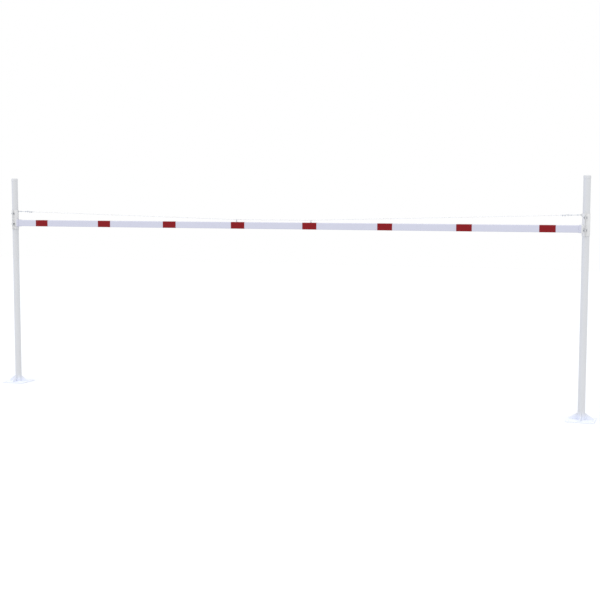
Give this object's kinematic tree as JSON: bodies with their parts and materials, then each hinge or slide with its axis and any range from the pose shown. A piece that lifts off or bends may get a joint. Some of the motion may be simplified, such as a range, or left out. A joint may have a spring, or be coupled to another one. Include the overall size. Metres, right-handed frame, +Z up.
{
  "type": "height restriction barrier",
  "caption": "Goal-post height barrier: white posts on gusseted plates carry a long square crossbar with red bands on sliding clamps, held level by a wire rope stay.",
  "frame": {"origin": "on the ground, midway between the two posts", "axes": "+X along the crossbar, +Z up, and the bolted ears of the clamps face -Y"},
  "size_m": [8.56, 0.34, 3.027],
  "materials": {
    "white_powder_coat": "satin white powder coat on steel",
    "crossbar_enamel": "satin cool white enamel on steel",
    "red_reflective_film": "dark red retroreflective film with a fine cell pattern",
    "zinc_plated_steel": "dull zinc plating",
    "galvanised_steel": "weathered galvanising",
    "wire_rope": "stranded galvanised wire"
  },
  "bodies": {
    "posts": {"left_post_tube": "white_powder_coat", "right_post_tube": "white_powder_coat", "left_base_plate": "white_powder_coat", "right_base_plate": "white_powder_coat", "left_gussets": "white_powder_coat", "right_gussets": "white_powder_coat", "left_post_cap": "white_powder_coat", "right_post_cap": "white_powder_coat"},
    "crossbar": {"beam_tube": "crossbar_enamel", "red_bands": "red_reflective_film", "left_clamp_sleeve": "white_powder_coat", "right_clamp_sleeve": "white_powder_coat", "left_clamp_ears": "white_powder_coat", "right_clamp_ears": "white_powder_coat", "left_beam_socket": "crossbar_enamel", "right_beam_socket": "crossbar_enamel", "left_stay_lug": "white_powder_coat", "right_stay_lug": "white_powder_coat", "left_clamp_bolts": "zinc_plated_steel", "right_clamp_bolts": "zinc_plated_steel", "left_clamp_nuts": "zinc_plated_steel", "right_clamp_nuts": "zinc_plated_steel", "left_clamp_washers": "zinc_plated_steel", "right_clamp_washers": "zinc_plated_steel", "left_eye_bolt": "zinc_plated_steel", "right_eye_bolt": "zinc_plated_steel", "left_eye_lock_nut": "zinc_plated_steel", "right_eye_lock_nut": "zinc_plated_steel", "left_rivet_nut": "zinc_plated_steel", "right_rivet_nut": "zinc_plated_steel", "stay_rope": "wire_rope", "left_turnbuckle_hook": "galvanised_steel", "right_turnbuckle_hook": "galvanised_steel", "left_turnbuckle_eye": "galvanised_steel", "right_turnbuckle_eye": "galvanised_steel", "left_rope_thimble": "galvanised_steel", "right_rope_thimble": "galvanised_steel", "left_clip_saddles": "galvanised_steel", "right_clip_saddles": "galvanised_steel", "left_clip_u_bolts": "galvanised_steel", "right_clip_u_bolts": "galvanised_steel", "left_clip_nuts": "galvanised_steel", "right_clip_nuts": "galvanised_steel"},
    "left_turnbuckle": {"left_turnbuckle_body": "galvanised_steel"},
    "right_turnbuckle": {"right_turnbuckle_body": "galvanised_steel"}
  },
  "joints": [
    {"name": "crossbar_slide", "type": "slide", "parent": "posts", "child": "crossbar", "axis": [0, 0, 1], "range_m": [-2.18, 0.425]},
    {"name": "left_turnbuckle_turn", "type": "hinge", "parent": "crossbar", "child": "left_turnbuckle", "pos_m": [-3.96928, 0, 2.54078], "axis": [-0.9996, 0, 0.0268], "range_deg": [-450, 450]},
    {"name": "right_turnbuckle_turn", "type": "hinge", "parent": "crossbar", "child": "right_turnbuckle", "pos_m": [3.96928, 0, 2.54078], "axis": [0.9996, 0, 0.0268], "range_deg": [-450, 450]}
  ]
}
